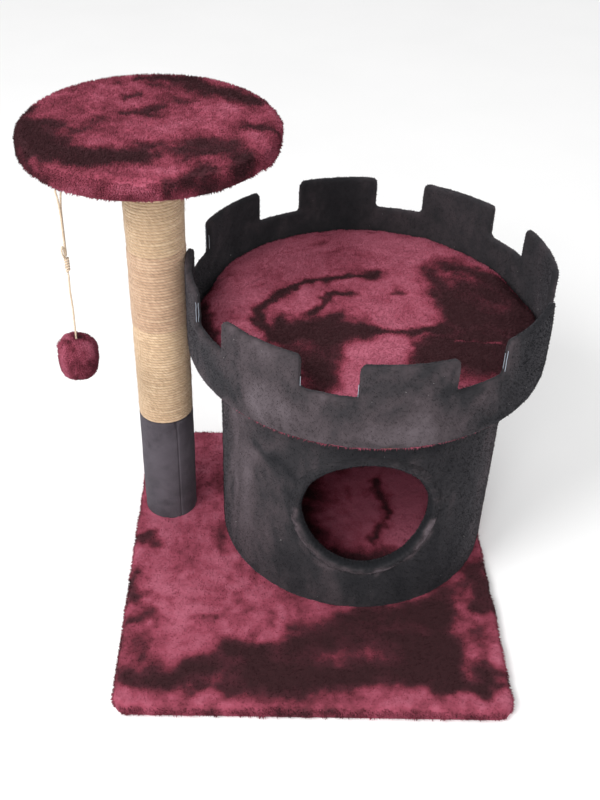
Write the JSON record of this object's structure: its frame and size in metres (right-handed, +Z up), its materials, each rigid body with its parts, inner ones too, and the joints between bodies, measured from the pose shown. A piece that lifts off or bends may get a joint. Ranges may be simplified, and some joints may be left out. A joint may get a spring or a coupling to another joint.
{
  "type": "cat tree",
  "caption": "Cat tree: plush base, sisal post with round perch and hanging pompom, round den with a round entrance and castle bed.",
  "frame": {"origin": "centre of the base's underside, on the floor", "axes": "+Z up; -Y is the front, where the den's entrance faces; +X to the right, towards the den, as seen from the front"},
  "size_m": [0.6295, 0.5625, 0.599],
  "materials": {
    "board": "raw fibreboard",
    "plush_burgundy": "short faux-fur plush, burgundy, brushed in patches",
    "felt_dark": "non-woven felt, dark grey",
    "cardboard": "spiral-wound cardboard tube",
    "turned_wood": "raw pine",
    "zinc": "zinc-plated steel",
    "sleeve_fabric": "smooth short-pile fabric, charcoal",
    "sisal_light": "sisal twine, pale straw",
    "sisal_brown": "sisal twine, a little browner",
    "wadding": "polyester wadding",
    "plush_charcoal": "short faux-fur plush, charcoal",
    "foam": "open-cell foam",
    "hardboard": "bent hardboard strip",
    "string": "twisted cotton string, natural"
  },
  "bodies": {
    "root": {"base_board": "board", "base_cover": "plush_burgundy", "base_backing": "felt_dark", "post_tube": "cardboard", "post_plugs": "turned_wood", "post_inserts": "zinc", "post_bolt": "zinc", "post_bolt_washer": "zinc", "post_stud": "zinc", "post_sleeve": "sleeve_fabric", "sisal_lower": "sisal_light", "sisal_middle": "sisal_brown", "sisal_upper": "sisal_light", "perch_board": "board", "perch_tee_nut": "zinc", "perch_pad": "wadding", "perch_cover": "plush_burgundy", "perch_backing": "felt_dark", "den_wall": "cardboard", "den_floor_board": "board", "den_top_board": "board", "den_wall_nails": "zinc", "den_cover": "plush_charcoal", "den_lining": "plush_burgundy", "den_floor_carpet": "plush_burgundy", "den_ceiling_lining": "plush_burgundy", "entrance_rim": "plush_charcoal", "den_bolts": "zinc", "den_bolt_washers": "zinc", "den_tee_nuts": "zinc", "bed_board": "board", "bed_backing": "felt_dark", "bed_foam": "foam", "bed_cover": "plush_burgundy", "bed_bolts": "zinc", "bed_bolt_washers": "zinc", "bed_tee_nuts": "zinc", "castle_wall": "hardboard", "castle_cover": "plush_charcoal", "castle_nails": "zinc", "toy_staple": "zinc"},
    "toy_loop": {"toy_string_loop": "string", "toy_knot": "string"},
    "toy": {"toy_string_lower": "string", "toy_pompom": "plush_burgundy"}
  },
  "joints": [
    {"name": "toy_swing_out", "type": "hinge", "parent": "root", "child": "toy_loop", "pos_m": [-0.28219, -0.01282, 0.5705], "axis": [0.788, -0.6157, 0], "range_deg": [-60, 18]},
    {"name": "toy_swing_side", "type": "hinge", "parent": "toy_loop", "child": "toy", "pos_m": [-0.28219, -0.01282, 0.47], "axis": [-0.6157, -0.788, 0], "range_deg": [-60, 60]}
  ]
}
